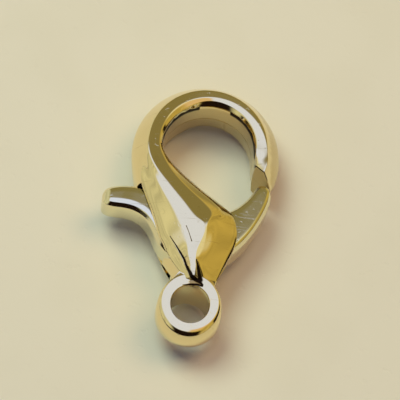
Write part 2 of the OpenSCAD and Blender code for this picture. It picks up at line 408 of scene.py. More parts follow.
# The front's top falls to the right by this much, and below this height its left side spreads by this much
FRONT_FALL = 0.25
FRONT_LOW = 0.2
FRONT_SPREAD = 3.0
SIDE_FROM = (0.76, 0.84)
SIDE_HALF = (0.34, 0.25)
SIDE_TOP = (0.58, 0.50)
BOX_SOFT_EDGE = (-0.04, 0.04)
BOX_FROM = (0.66, 0.72)
BOX_LEFT = (-0.6, -0.46)
BOX_RIGHT = (0.55, 0.42)
# The box ends here at the back, and nearer to the right
BOX_BACK = 0.39
BOX_BACK_FALL = 0.3
PEACH_TO_WARM = (0.05, 0.12)
COOL_TO_EDGE = (0.07, 0.17)


def build_surroundings():
    """The room that the metal mirrors. Dull surfaces see only a soft even light."""
    world = bpy.data.worlds.new("studio")
    world.use_nodes = True
    bpy.context.scene.world = world
    g = Graph(world.node_tree)
    out = g.add("ShaderNodeTexCoord").outputs["Generated"]
    x, y, z = g.add("ShaderNodeSeparateXYZ", {"Vector": out}).outputs
    rightward = g.math("MAXIMUM", x, 0.0)

    right = g.mix(g.rise(z, *HIGH_TO_LOW), RIGHT_WALL, RIGHT_LOW_WALL)
    walls = g.mix(g.rise(x, *LEFT_TO_RIGHT), LEFT_WALL, right)
    streaks = g.add("ShaderNodeMapping", {"Vector": out, "Scale": STREAKS}).outputs[0]
    streaks = g.noise(streaks, 1.0, STREAK_DETAIL)
    walls = g.scaled(walls, g.math("ADD", DARKEST_STREAK, streaks))

    behind = g.product(g.rise(y, *BACK_FROM), g.rise(x, *BACK_LEFT), g.rise(x, *BACK_RIGHT))
    far_behind = g.product(g.rise(y, *FAR_BACK_FROM), g.rise(z, *FAR_BACK_TOP), g.rise(x, *FAR_BACK_RIGHT))
    walls = g.mix(g.math("MAXIMUM", behind, far_behind), walls, BACK_WALL)

    top = g.math("ADD", z, g.math("MULTIPLY", rightward, FRONT_FALL))
    low = g.math("MULTIPLY", g.math("MAXIMUM", g.math("SUBTRACT", FRONT_LOW, z), 0.0), FRONT_SPREAD)
    front = g.product(g.rise(y, *FRONT_FROM), g.rise(top, *FRONT_TOP),
                      g.rise(g.math("ADD", x, low), *FRONT_LEFT), g.rise(x, *FRONT_RIGHT))
    side = g.product(g.rise(x, *SIDE_FROM), g.rise(g.math("ABSOLUTE", y), *SIDE_HALF), g.rise(z, *SIDE_TOP))
    walls = g.mix(g.math("MAXIMUM", front, side), walls, DARK_FRONT)

    back_edge = g.math("SUBTRACT", BOX_BACK, g.math("MULTIPLY", rightward, BOX_BACK_FALL))
    box = g.product(g.rise(g.math("SUBTRACT", back_edge, y), *BOX_SOFT_EDGE), g.rise(z, *BOX_FROM),
                    g.rise(x, *BOX_LEFT), g.rise(x, *BOX_RIGHT))
    edge = g.mix(g.rise(y, *PEACH_TO_WARM), PEACH_EDGE, BOX_WARM_EDGE)
    sky = g.mix(box, walls, g.mix(g.rise(x, *COOL_TO_EDGE), BOX_COLOUR, edge))
    seen_dull = g.add("ShaderNodeLightPath").outputs["Is Diffuse Ray"]
    shade = g.add("ShaderNodeBackground", {"Color": g.mix(seen_dull, sky, SOFT_AMBIENT)})
    g.add("ShaderNodeOutputWorld", {"Surface": shade.outputs[0]})


# Finishes: effects that the materials share

# Measures of the shared effects, in metres. A pair says between which values of a noise, or of a turn of the
# surface, the effect fades in.
PORES_PER_WAVE = 8.0
PORE_EDGE = (0.63, 0.72)
PORE_DEPTH = 0.2
PATCH_EDGE = (0.42, 0.68)
CLOUD_EDGE = 0.78
CLOUD_COVER = 0.45
CLOUD_SOFTNESS = 0.16
WEAR_RADIUS = 0.00005
WEAR_TURN = (0.12, 0.4)
WEAR_SPOTS_PER_METRE = 1400.0
WEAR_GAPS = (0.35, 0.6)
SCRATCH_STRETCH = (600.0, 15000.0, 600.0)
SCRATCH_EDGE = (0.67, 0.74)
RAGGED_PER_METRE = 5000.0
# A dark line's least share of its width, and how much more of it a noise gives
RAGGED_WIDTH = (0.6, 0.8)
# The full darkness of a line ends at this share of its width
LINE_CORE = 0.55


def shared_effect(name, wanted, given):
    """An empty node group with named inputs and outputs, and its graph and input and output nodes."""
    tree = bpy.data.node_groups.new(name, "ShaderNodeTree")
    for socket, kind in wanted.items():
        tree.interface.new_socket(socket, in_out="INPUT", socket_type="NodeSocket" + kind)
    for socket in given:
        tree.interface.new_socket(socket, in_out="OUTPUT", socket_type="NodeSocketFloat")
    g = Graph(tree)
    return g, g.add("NodeGroupInput").outputs, g.add("NodeGroupOutput").inputs


def make_cast_grain():
    """Waves and fine pores of a polished casting: a height, and patches where the polish is duller."""
    g, wanted, given = shared_effect("cast_grain", {"Place": "Vector", "Waves Per Metre": "Float"},
                                     ["Height", "Patches"])
    waves = g.noise(wanted["Place"], wanted["Waves Per Metre"], 1.5)
    pores = g.noise(wanted["Place"], g.math("MULTIPLY", wanted["Waves Per Metre"], PORES_PER_WAVE), 3.0)
    depth = g.math("MULTIPLY", g.rise(pores, *PORE_EDGE), PORE_DEPTH)
    g.put(given["Height"], g.math("SUBTRACT", waves, depth))
    g.put(given["Patches"], g.rise(waves, *PATCH_EDGE))
    return g.tree


def make_tarnish():
    """Clouds of brown tarnish, more of them as Cover grows."""
    g, wanted, given = shared_effect(
        "tarnish", {"Place": "Vector", "Clouds Per Metre": "Float", "Cover": "Float"}, ["Mask"])
    clouds = g.noise(wanted["Place"], wanted["Clouds Per Metre"], 5.0, Roughness=0.6)
    edge = g.math("SUBTRACT", CLOUD_EDGE, g.math("MULTIPLY", wanted["Cover"], CLOUD_COVER))
    g.put(given["Mask"], g.rise(clouds, edge, g.math("ADD", edge, CLOUD_SOFTNESS)))
    return g.tree


def make_edge_wear():
    """A mask of the outer edges, where the plating is rubbed brighter."""
    g, wanted, given = shared_effect("edge_wear", {"Place": "Vector", "Amount": "Float"}, ["Mask"])
    rounded = g.add("ShaderNodeBevel", {"Radius": WEAR_RADIUS}, samples=4).outputs[0]
    plain = g.add("ShaderNodeNewGeometry").outputs["Normal"]
    sharp = g.rise(g.vector("DISTANCE", rounded, plain).outputs["Value"], *WEAR_TURN)
    broken = g.rise(g.noise(wanted["Place"], WEAR_SPOTS_PER_METRE, 2.0), *WEAR_GAPS)
    g.put(given["Mask"], g.product(sharp, broken, wanted["Amount"]))
    return g.tree


def make_fine_scratches():
    """Long thin scratches of handling and polishing, in one direction."""
    g, wanted, given = shared_effect(
        "fine_scratches", {"Place": "Vector", "Turn": "Vector", "Amount": "Float"}, ["Mask"])
    turned = g.add("ShaderNodeMapping", {"Vector": wanted["Place"], "Rotation": wanted["Turn"],
                                         "Scale": SCRATCH_STRETCH})
    lines = g.rise(g.noise(turned.outputs[0], 1.0, 2.0), *SCRATCH_EDGE)
    g.put(given["Mask"], g.product(lines, wanted["Amount"]))
    return g.tree


def make_dark_line():
    """A mask along a straight line, for painted shade in a crevice or along an edge, a deep scratch or a pit.
    """
    g, wanted, given = shared_effect(
        "dark_line", {"Place": "Vector", "From": "Vector", "To": "Vector", "Width From": "Float",
                      "Width To": "Float"}, ["Mask"])
    along = g.vector("SUBTRACT", wanted["To"], wanted["From"]).outputs[0]
    there = g.vector("SUBTRACT", wanted["Place"], wanted["From"]).outputs[0]
    square = g.math("ADD", g.vector("DOT_PRODUCT", along, along).outputs["Value"], 1e-12)
    share = g.math("DIVIDE", g.vector("DOT_PRODUCT", there, along).outputs["Value"], square)
    share = g.math("MINIMUM", g.math("MAXIMUM", share, 0.0), 1.0)
    gap = g.vector("DISTANCE", there, g.scaled(along, share)).outputs["Value"]
    width = g.math("ADD", g.math("MULTIPLY", wanted["Width From"], g.math("SUBTRACT", 1.0, share)),
                   g.math("MULTIPLY", wanted["Width To"], share))
    least, more = RAGGED_WIDTH
    ragged = g.math("MULTIPLY", g.noise(wanted["Place"], RAGGED_PER_METRE, 2.0), more)
    width = g.math("MULTIPLY", width, g.math("ADD", least, ragged))
    g.put(given["Mask"], g.rise(gap, width, g.math("MULTIPLY", width, LINE_CORE)))
    return g.tree


effects = {name: make() for name, make in (
    ("cast_grain", make_cast_grain), ("tarnish", make_tarnish), ("edge_wear", make_edge_wear),
    ("fine_scratches", make_fine_scratches), ("dark_line", make_dark_line))}


def effect(g, name, inputs):
    """Places a shared effect in a material and gives its outputs."""
    return g.add("ShaderNodeGroup", inputs, node_tree=effects[name]).outputs


def dark_lines(g, place, chains):
    """The mask of several chains of points. A row is a place, in plan or in full, and a half width."""
    whole = 0.0
    for chain in chains:
        rows = [(Vector((*row[:-1], 0.0)[:3]) * TO_METRES, row[-1] * TO_METRES) for row in chain]
        for (first, thin), (last, thick) in zip(rows, rows[1:]):
            mask = effect(g, "dark_line", {"Place": place, "From": first, "To": last, "Width From": thin,
                                           "Width To": thick})["Mask"]
            whole = g.math("MAXIMUM", whole, mask)
    return whole


# Painted shade on the body: dark lines put where shade falls, as chains in plan of x, y and half the width:
# the crease left of the nose and round its foot, the nose's right side, the back of the ring's hole, the wall
# of the eye on to the right cheek's edge, and its rim by the mouth
CREASE_SHADE_LINE = [
    (-1.151, 2.949, 0.012), (-0.872, 2.570, 0.030), (-0.656, 2.269, 0.045), (-0.470, 2.010, 0.055),
    (-0.330, 1.690, 0.060), (-0.190, 1.414, 0.070), (-0.08, 1.20, 0.090), (0.10, 1.16, 0.090),
    (0.27, 1.10, 0.090), (0.42, 0.98, 0.050),
]
NOSE_SIDE_SHADE = [(0.04, 1.94, 0.030), (0.15, 1.67, 0.090), (0.23, 1.39, 0.130), (0.30, 1.18, 0.140)]
HOLE_RIM_SHADE = [(-0.39, 0.87, 0.020), (-0.10, 0.95, 0.040), (0.19, 0.97, 0.060), (0.41, 0.94, 0.050)]
EYE_EDGE_SHADE = [(*around(EYE_CENTRE, EYE_RADIUS, angle), 0.045) for angle in range(108, 181, 12)]
EYE_EDGE_SHADE += [
    (-1.74, 6.80, 0.06), (-1.44, 6.44, 0.065), (-1.02, 6.05, 0.06), (-0.46, 5.64, 0.055),
    (0.10, 5.25, 0.055), (0.60, 4.94, 0.055), (1.02, 4.65, 0.055), (1.30, 4.43, 0.06), (1.53, 4.03, 0.055),
    (1.63, 3.77, 0.055), (1.68, 3.52, 0.05), (1.675, 3.20, 0.04), (1.63, 2.93, 0.02),
]
MOUTH_RIM_SHADE = [
    (2.86, 5.97, 0.04), (2.64, 6.15, 0.03), (2.40, 6.35, 0.022), (2.05, 6.64, 0.03), (1.98, 6.98, 0.05),
    (1.965, 7.22, 0.045), (1.91, 7.62, 0.04), (1.76, 8.09, 0.03), (1.50, 8.46, 0.025), (1.17, 8.75, 0.025),
    (0.80, 8.95, 0.02),
]
# A deep scratch in the metal
DEEP_SCRATCH = [(-0.535, 3.386, 0.016), (-0.40, 3.12, 0.012), (-0.238, 2.736, 0.02)]
# Brown in plan: on the hook's end, and painted shade at the nose's foot and on the outer side from the mouth
# over the arch
HOOK_END_BROWN = [(2.03, 6.60, 0.07), (2.86, 5.91, 0.07)]
NOSE_FOOT_SHADE = [(-0.05, 1.06, 0.12), (0.32, 1.02, 0.12)]
RIGHT_SIDE_SHADE = [
    (3.0, 6.3, 0.30), (3.0, 7.25, 0.42), (2.77, 8.40, 0.40), (2.12, 9.37, 0.30), (1.5, 9.85, 0.12),
]
# Dark marks as x, y, z and half the width: painted shade in the dark end of the slot right of the neck,
# and pits on the ring's side and in the left wall
SLOT_SHADE_AND_PITS = [
    [(1.04, 1.53, 0.78, 0.04), (1.02, 1.38, 0.62, 0.10), (0.98, 1.25, 0.45, 0.06)],
    [(0.684, -1.193, 0.3, 0.035), (0.72, -1.17, 0.3, 0.035)],
    [(-1.192, 2.212, 0.95, 0.03), (-1.18, 2.23, 0.95, 0.03)],
    [(-1.068, 1.815, 0.95, 0.03), (-1.06, 1.80, 0.95, 0.03)],
]
# The body's dark lines: the painted shade above, and the deep scratch
BODY_SHADE_LINES_AND_SCRATCH = [CREASE_SHADE_LINE, NOSE_SIDE_SHADE, HOLE_RIM_SHADE, EYE_EDGE_SHADE, MOUTH_RIM_SHADE, DEEP_SCRATCH]
# Brown patches and their strength: the hook's end with the painted shade at the nose's foot, then the painted
# shade on the outer side
BODY_BROWN_AND_SHADE = [([HOOK_END_BROWN, NOSE_FOOT_SHADE], 1.7), ([RIGHT_SIDE_SHADE], 0.9)]

BODY_GOLD = (0.88, 0.75, 0.43)
LEVER_GOLD = (0.85, 0.78, 0.52)
STEEL = (0.62, 0.62, 0.60)
# The brown below is of tarnish and scratches, and of painted shade on the body; the near black after it is of
# painted shade lines, pits and a deep scratch
TARNISH_AND_SHADE_BROWN = (0.42, 0.29, 0.10)
SHADE_PIT_AND_SCRATCH_BLACK = (0.018, 0.010, 0.006)
WORN_COLOUR = (0.93, 0.88, 0.70)
FLOOR_COLOUR = (0.80, 0.79, 0.75)
FLOOR_PATCH = (0.785, 0.775, 0.73)
FLOOR_WAVES_PER_METRE = 260.0
FLOOR_ROUGHNESS = 0.7
# How strong the bumps are, and how deep in metres
FLOOR_RELIEF = (0.12, 0.0004)
METAL_RELIEF = (0.5, 0.000012)

# How far tarnish with painted brown shade, wear and scratches change the metal's colour, and what dulls it
TARNISH_AND_SHADE_SHARE = 0.5
WORN_SHARE = 0.6
SCRATCH_SHARE = 0.22
PATCH_DULLS = 0.05
TARNISH_DULLS = 0.16
SCRATCH_DULLS = 0.12
DARK_LINE_DULLS = 0.45
SCRATCH_DEPTH = 0.05
CLOUDS_PER_METRE = 900.0
WEAR_AMOUNT = 0.8
SCRATCH_TURN = (0.0, 0.0, 1.05)
# Heights between which the front's dark lines fade in, and the painted shade of the eye's wall fades out
FRONT_STARTS = (0.78, 0.9)
WALL_ENDS = (0.97, 0.9)
# Distances from the eye's centre, and from the middle plane, within which its wall and parting line lie
WALL_REACH = (2.06, 2.0)
LINE_REACH = (3.0, 2.9)
LINE_HALF = (0.05, 0.02)
# How strong the painted shade on the eye's wall is, and the brown of the line at its middle height
WALL_PAINTED_SHADE = 0.8
MIDDLE_LINE_BROWN = 1.9


def new_material(name):
    """A material, its graph and the place in it that patterns are laid by."""
    material = bpy.data.materials.new(name)
    material.use_nodes = True
    g = Graph(material.node_tree)
    return material, g, g.add("ShaderNodeTexCoord").outputs["Object"]


def surface(g, colour, roughness, metallic, height, relief):
    """Ends a material with its shader. relief is how strong and how deep its bumps are."""
    bump = g.add("ShaderNodeBump", {"Height": height, "Strength": relief[0], "Distance": relief[1]})
    shader = g.add("ShaderNodeBsdfPrincipled", {"Base Color": colour, "Roughness": roughness,
                                                "Metallic": metallic, "Normal": bump.outputs[0]})
    g.add("ShaderNodeOutputMaterial", {"Surface": shader.outputs[0]})


def floor_material():
    """A pale table with soft patches and a fine grain."""
    material, g, place = new_material("pale_table")
    grain = effect(g, "cast_grain", {"Place": place, "Waves Per Metre": FLOOR_WAVES_PER_METRE})
    colour = g.mix(grain["Patches"], FLOOR_COLOUR, FLOOR_PATCH)
    surface(g, colour, FLOOR_ROUGHNESS, 0.0, grain["Height"], FLOOR_RELIEF)
    return material


def within(g, value, ends):
    """A smooth mask of the values between two lengths in millimetres."""
    return g.rise(value, *(end * TO_METRES for end in ends))


def eye_wall(g, place, flat_place):
    """Brown of the eye's wall: painted shade all over it, for the shadowed table that it mirrors, and a thin
    line at its middle height.
    """
    height = g.height(place)
    centre = (EYE_CENTRE.x * TO_METRES, EYE_CENTRE.y * TO_METRES, 0.0)
    from_eye = g.vector("DISTANCE", flat_place, centre).outputs["Value"]
    thin = within(g, g.math("ABSOLUTE", height), LINE_HALF)
    line = g.product(thin, within(g, from_eye, LINE_REACH), MIDDLE_LINE_BROWN)
    wall = g.product(within(g, from_eye, WALL_REACH), within(g, height, WALL_ENDS), WALL_PAINTED_SHADE)
    return g.math("MAXIMUM", line, wall)


def metal_material(name, colour, rough, waves, cover, shade_and_scratch_lines=(), shade_and_pits=(), brown_and_shade_patches=()):
    """Cast or drawn metal: waves in the polish, clouds of tarnish, rubbed edges and scratches, and where
    given, pits, a deep scratch and painted shade.

    rough is the polish's roughness, waves counts its waves per metre, and cover is how much tarnish there is.
    """
    material, g, place = new_material(name)
    flat_place = g.add("ShaderNodeMapping", {"Vector": place, "Scale": (1.0, 1.0, 0.0)}).outputs[0]
    grain = effect(g, "cast_grain", {"Place": place, "Waves Per Metre": waves})
    clouds = {"Place": place, "Clouds Per Metre": CLOUDS_PER_METRE, "Cover": cover}
    brown = effect(g, "tarnish", clouds)["Mask"]
    # Brown on the hook's end, and painted shade at the nose's foot, on the outer side and on the eye's wall
    for chains, strength in brown_and_shade_patches:
        brown = g.math("MAXIMUM", brown, g.math("MULTIPLY", dark_lines(g, flat_place, chains), strength))
    if brown_and_shade_patches:
        brown = g.math("MAXIMUM", brown, eye_wall(g, place, flat_place))
    worn = effect(g, "edge_wear", {"Place": place, "Amount": WEAR_AMOUNT})["Mask"]
    scratches = effect(g, "fine_scratches", {"Place": place, "Turn": SCRATCH_TURN, "Amount": 1.0})["Mask"]
    # Near-black painted shade in crevices, along edges and in the slot's end, with pits and a deep scratch
    shade_pit_and_scratch_mask = 0.0
    if shade_and_scratch_lines:
        on_front = within(g, g.height(place), FRONT_STARTS)
        shade_pit_and_scratch_mask = g.math("MULTIPLY", dark_lines(g, flat_place, shade_and_scratch_lines), on_front)
    if shade_and_pits:
        shade_pit_and_scratch_mask = g.math("MAXIMUM", shade_pit_and_scratch_mask, dark_lines(g, place, shade_and_pits))
    base = g.mix(g.math("MULTIPLY", brown, TARNISH_AND_SHADE_SHARE), colour, TARNISH_AND_SHADE_BROWN)
    base = g.mix(g.math("MULTIPLY", worn, WORN_SHARE), base, WORN_COLOUR)
    base = g.mix(g.math("MULTIPLY", scratches, SCRATCH_SHARE), base, TARNISH_AND_SHADE_BROWN)
    base = g.mix(shade_pit_and_scratch_mask, base, SHADE_PIT_AND_SCRATCH_BLACK)
    dull = g.math("MULTIPLY", grain["Patches"], PATCH_DULLS)
    dull = g.math("ADD", dull, g.math("MULTIPLY", brown, TARNISH_DULLS))
    dull = g.math("ADD", dull, g.math("MULTIPLY", scratches, SCRATCH_DULLS))
    roughness = g.math("ADD", rough, g.math("MAXIMUM", dull, g.math("MULTIPLY", shade_pit_and_scratch_mask, DARK_LINE_DULLS)))
    height = g.math("SUBTRACT", grain["Height"], g.math("MULTIPLY", scratches, SCRATCH_DEPTH))
    surface(g, base, roughness, 1.0, g.math("SUBTRACT", height, shade_pit_and_scratch_mask), METAL_RELIEF)
    return material


# The body: hook, cheeks and ring

# Stations along the hook's end and the cheeks. Each goes from a point of the outline to one of the eye's wall
# or the right cheek's edge. Its second line gives the front between them, as a share of the way and a height:
# side, crease, brow, first and second edge of the flat, and slope, and then the rim's height.
TIP_STATIONS = [
    # outline, wall
    # side, crease, brow, first edge, second edge, slope, rim
    ((2.88, 5.895), (2.04, 6.60),
     (0.14, 0.48), (0.36, 0.98), (0.44, 1.13), (0.52, 1.27), (0.555, 1.27), (0.93, 1.16), 0.95),
    ((3.065, 6.335), (2.02, 6.85),
     (0.13, 0.5), (0.35, 1.01), (0.43, 1.17), (0.51, 1.31), (0.55, 1.31), (0.94, 1.19), 0.97),
    ((3.157, 6.84), (1.99, 7.03),
     (0.13, 0.5), (0.35, 1.01), (0.43, 1.17), (0.51, 1.31), (0.56, 1.31), (0.94, 1.20), 0.98),
]
CHEEK_STATIONS = [
    # outline, wall or edge
    # side, crease, brow, first edge, second edge, slope, rim
    ((-3.105, 6.59), (-1.74, 6.80),
     (0.12, 0.52), (0.325, 1.01), (0.38, 1.17), (0.45, 1.31), (0.86, 1.31), (0.93, 1.20), 0.96),
    ((-3.00, 6.035), (-1.44, 6.44),
     (0.085, 0.6), (0.295, 1.00), (0.365, 1.20), (0.45, 1.32), (0.825, 1.32), (0.905, 1.20), 0.95),
    ((-2.84, 5.485), (-1.02, 6.05),
     (0.04, 0.75), (0.235, 1.01), (0.35, 1.24), (0.475, 1.34), (0.77, 1.34), (0.89, 1.20), 0.95),
    ((-2.54, 4.90), (-0.46, 5.64),
     (0.02, 0.82), (0.15, 1.03), (0.32, 1.275), (0.495, 1.37), (0.735, 1.37), (0.885, 1.22), 0.94),
    ((-2.24, 4.32), (0.10, 5.25),
     (0.015, 0.86), (0.12, 1.04), (0.32, 1.305), (0.50, 1.40), (0.73, 1.40), (0.89, 1.25), 0.93),
    ((-2.00, 3.78), (0.60, 4.94),
     (0.015, 0.88), (0.115, 1.05), (0.325, 1.335), (0.515, 1.43), (0.735, 1.43), (0.895, 1.28), 0.93),
    ((-1.84, 3.26), (1.02, 4.65),
     (0.02, 0.86), (0.12, 1.06), (0.33, 1.36), (0.53, 1.46), (0.74, 1.46), (0.895, 1.315), 0.93),
    ((-1.72, 2.87), (1.30, 4.43),
     (0.03, 0.86), (0.13, 1.07), (0.34, 1.37), (0.55, 1.485), (0.745, 1.485), (0.87, 1.34), 0.98),
    ((-1.65, 2.70), (1.42, 4.26),
     (0.04, 0.84), (0.138, 1.08), (0.345, 1.37), (0.575, 1.49), (0.66, 1.49), (0.78, 1.36), 1.05),
    ((-1.59, 2.54), (1.53, 4.03),
     (0.05, 0.82), (0.145, 1.08), (0.35, 1.36), (0.592, 1.485), (0.605, 1.485), (0.74, 1.37), 1.04),
    ((-1.49, 2.25), (1.68, 3.52),
     (0.06, 0.83), (0.165, 1.09), (0.345, 1.32), (0.53, 1.43), (0.565, 1.43), (0.69, 1.35), 1.02),
    ((-1.30, 1.95), (1.63, 2.93),
     (0.08, 0.88), (0.25, 1.11), (0.305, 1.30), (0.43, 1.38), (0.52, 1.355), (0.66, 1.29), 0.97),
    ((-1.11, 1.67), (1.42, 2.35),
     (0.105, 0.95), (0.30, 1.13), (0.335, 1.295), (0.44, 1.345), (0.475, 1.33), (0.64, 1.21), 0.89),
    ((-0.97, 1.45), (1.24, 1.90),
     (0.145, 1.01), (0.33, 1.15), (0.36, 1.291), (0.455, 1.318), (0.55, 1.16), (0.68, 1.09), 0.86),
    ((-0.89, 1.28), (1.12, 1.60),
     (0.184, 1.02), (0.352, 1.17), (0.375, 1.285), (0.46, 1.298), (0.635, 1.03), (0.765, 0.97), 0.84),
    ((-0.85, 1.10), (1.03, 1.33),
     (0.268, 1.02), (0.375, 1.18), (0.39, 1.27), (0.465, 1.28), (0.69, 0.96), (0.825, 0.90), 0.82),
    ((-0.82, 0.92), (0.95, 1.00),
     (0.268, 0.45), (0.375, 0.52), (0.39, 0.56), (0.465, 0.58), (0.69, 0.56), (0.825, 0.52), 0.46),
]
# How sharp the lines of a station are: outline, side, crease, brow, first edge, second edge, slope, rim, wall
HOOK_SHARP = (0.0, 0.0, 0.0, 0.0, 0.75, 0.8, 0.6, 0.9, 0.75)
BACK_SHARP = (0.0, 0.0, 0.15, 0.1, 0.75, 0.8, 0.6, 0.9, 0.75)
CHEEK_SHARP = (0.0, 0.1, 0.55, 0.45, 0.8, 0.55, 0.3, 0.9, 0.0)
RIDGE_SHARP = (0.0, 0.1, 0.8, 0.5, 0.7, 0.7, 0.35, 0.9, 0.0)
NOSE_SHARP = (0.0, 0.1, 0.9, 0.8, 1.0, 0.85, 0.3, 0.8, 0.0)
CHEEK_LINES = [BACK_SHARP] * 2 + [CHEEK_SHARP] * 8 + [RIDGE_SHARP] * 2 + [NOSE_SHARP] * 5
# The nose's foot, which is the last station but one, is sharp all round
FOOT_SHARP = 0.85
# The eye's rim on the back lies lower than on the front by this share
BACK_RIM = 0.76
# How much nearer the middle the eye's wall lies at its rim
WALL_DRAFT = 0.03

# The arch goes in steps of so many degrees from the mouth's side round, and the back's lines start here
ARCH_STEP = 15
BACK_STARTS = 150
# Lines over its outer side, as how far in and the height, and the bevel's width at the mouth and at the back
ARCH_SIDE = (0.20, 0.5)
ARCH_CREASE = (0.49, 1.01)
ARCH_BROW = (0.585, 1.18)
BEVEL_MOUTH = 0.38
BEVEL_BACK = 0.15
# By the mouth the eye's wall lies nearer the middle, and the bevel is wider and steeper
MOUTH_SPAN = 45
MOUTH_WALL = 0.08
MOUTH_BEVEL = 0.19
MOUTH_SLOPE = 0.04
# Between these angles the bevel and the slope draw together into one
ONE_BEVEL_FROM = 106
ONE_BEVEL_TO = 178
ONE_BEVEL_FADE = 12
# The slope's share of the bevel, its height, and how it widens at the top of the arch
SLOPE_SHARE = 0.2
SLOPE_GROWTH = 0.37
SLOPE_TOP = 1.235
SLOPE_RISE = 0.02
SLOPE_DROP = 0.035
TOP_ANGLE = 84
TOP_SPAN = 32
TOP_SLOPE = 0.06
# The rim's height at the mouth, and how far it falls toward the back
RIM_MOUTH = 1.07
RIM_FALL = 0.11


def arch_station(angle):
    """A station of the arch, at an angle from the mouth's side round to the back."""
    turned = angle / 180
    half_turned = kept_in(2 * turned)
    by_mouth = kept_in(1 - angle / MOUTH_SPAN)
    one_bevel = (kept_in((angle - ONE_BEVEL_FROM) / ONE_BEVEL_FADE)
                 * kept_in((ONE_BEVEL_TO - angle) / ONE_BEVEL_FADE))
    out = around(ARCH_CENTRE, ARCH_RADIUS + SMOOTHING_ALLOWANCE, angle)
    inner = around(EYE_CENTRE, EYE_RADIUS - MOUTH_WALL * by_mouth, angle)
    width = (out - inner).length
    bevel = BEVEL_MOUTH + (BEVEL_BACK - BEVEL_MOUTH) * turned ** 3 + MOUTH_BEVEL * by_mouth
    slope = bevel * (SLOPE_SHARE + SLOPE_GROWTH * half_turned) * (1 - 0.5 * one_bevel)
    slope += TOP_SLOPE * kept_in(1 - abs(angle - TOP_ANGLE) / TOP_SPAN) - MOUTH_SLOPE * by_mouth
    slope_top = SLOPE_TOP + SLOPE_RISE * half_turned - SLOPE_DROP * one_bevel
    to_flat = ARCH_RADIUS + SMOOTHING_ALLOWANCE - FLAT_RADIUS
    outer_lines = [(inset / width, height) for inset, height in (ARCH_SIDE, ARCH_CREASE, ARCH_BROW)]
    return (out, inner, *outer_lines, (to_flat / width, FLAT_TOP), (1 - bevel / width, FLAT_TOP),
            (1 - slope / width, slope_top), RIM_MOUTH - RIM_FALL * turned ** 3)


def placed_along(start, end, rows):
    """Points over the way from start to end, from rows of a share of the way and a height."""
    places = [(start.lerp(end, share), height) for share, height in rows]
    return [(place.x, place.y, height) for place, height in places]


def station_loop(station):
    """The closed loop of points of a station, over the front, down the eye's wall and round the back."""
    out, inner = Vector(station[0]), Vector(station[1])
    at_rim = 1 - WALL_DRAFT / (inner - out).length
    front = [*station[2:8], (at_rim, station[8])]
    back = [(share, -height) for share, height in (*station[2:8], (at_rim, station[8] * BACK_RIM))]
    return placed_along(out, inner, [(0, 0), *front, (1, 0), *reversed(back)])


def station_sharpness(values):
    """The sharpness of the lines round a station's whole loop, from those over its front."""
    return [*values, *reversed(values[1:-1])]


def build_hook_and_cheeks():
    """The hook, the arch and the cheeks in one loft, from the hook's end round to the nose."""
    angles = range(0, 181, ARCH_STEP)
    stations = [(station, HOOK_SHARP) for station in TIP_STATIONS]
    stations += [(arch_station(angle), HOOK_SHARP if angle < BACK_STARTS else BACK_SHARP) for angle in angles]
    stations += zip(CHEEK_STATIONS, CHEEK_LINES)
    bm = loft([station_loop(station) for station, _ in stations],
              [station_sharpness(values) for _, values in stations], {len(stations) - 2: FOOT_SHARP})
    return smoothed(new_object("body_skin", bm))


# The ring's outline from its core to the outer side, as radius and height over the front half. Its face
# lies nearer the hook than its side does, and slopes down toward the free end.
RING_TOP = 0.88
RING_PROFILE = [
    (0.5, 0.0), (0.5, RING_TOP), (1.165, RING_TOP), (1.18, RING_TOP), (1.215, 0.865), (1.285, 0.79),
    (1.33, 0.66), (1.365, 0.35), (1.375, 0.0),
]
FACE_SHIFT = 0.2
RING_RISE = 0.15
HOLE_PROFILE = [(0.0, 2.0), (0.87, 2.0), (0.87, 0.90), (0.835, 0.885), (0.812, 0.865), (0.80, 0.83)]
NECK_TOP = 0.874
NECK_OUTLINE = [
    (-1.10, 0.60), (0.0, 0.2), (1.08, 0.60), (1.0, 0.85), (0.81, 1.06), (0.19, 1.25), (-0.30, 1.34),
    (-0.60, 1.44), (-0.83, 1.08),
]


def mirrored(profile):
    """Half an outline of radius and height, and its mirror image below."""
    return [*profile, *[(r, -z) for r, z in reversed(profile) if z > 0]]


def sloped(obj, centre=(0, 0), shift=0.0):
    """Slopes the faces of the ring, its neck or its hole, and moves the faces along by shift."""
    for vertex in obj.data.vertices:
        near_face = abs(vertex.co.z) / RING_TOP
        vertex.co.x += centre[0]
        vertex.co.y += centre[1] + shift * near_face ** 2
        vertex.co.z *= 1 + RING_RISE * vertex.co.y
    return obj


# The slot between the cheeks, in plan: its open side, the arc of its left wall and the corner by the neck
SLOT_OUTLINE = [
    (0.0, 1.29), (2.4, 1.79), (2.4, 4.64), (1.65, 5.22), (0.437, 5.51), (0.172, 5.18), (-0.187, 5.0),
    (-1.201, 5.03), (-2.2, 5.285), (-2.746, 5.336), (-4.06, 5.35),
]
SLOT_CORNER = (-0.42, 1.33)
WALL_REACHES = 4.06
WALL_START = 226
WALL_END = 254
WALL_STEPS = 6
HEEL_RADIUS = 1.46
HEEL_GAP = 1.15
HEEL_GAP_LESS = 0.11
# The gap in the closed wall by the ring: a flat wedge that is thin toward the hook
SLIT_TOP = Vector((-1.52, 2.36, 0.0))
SLIT_END = Vector((-0.94, 1.52, 0.0))
SLIT_HALF = 0.24
SLIT_DEPTH = 0.4
PIN_HOLE_RADIUS = 0.35
PIN_HOLE_LOW = -2
PIN_HOLE_TOP = 1.18


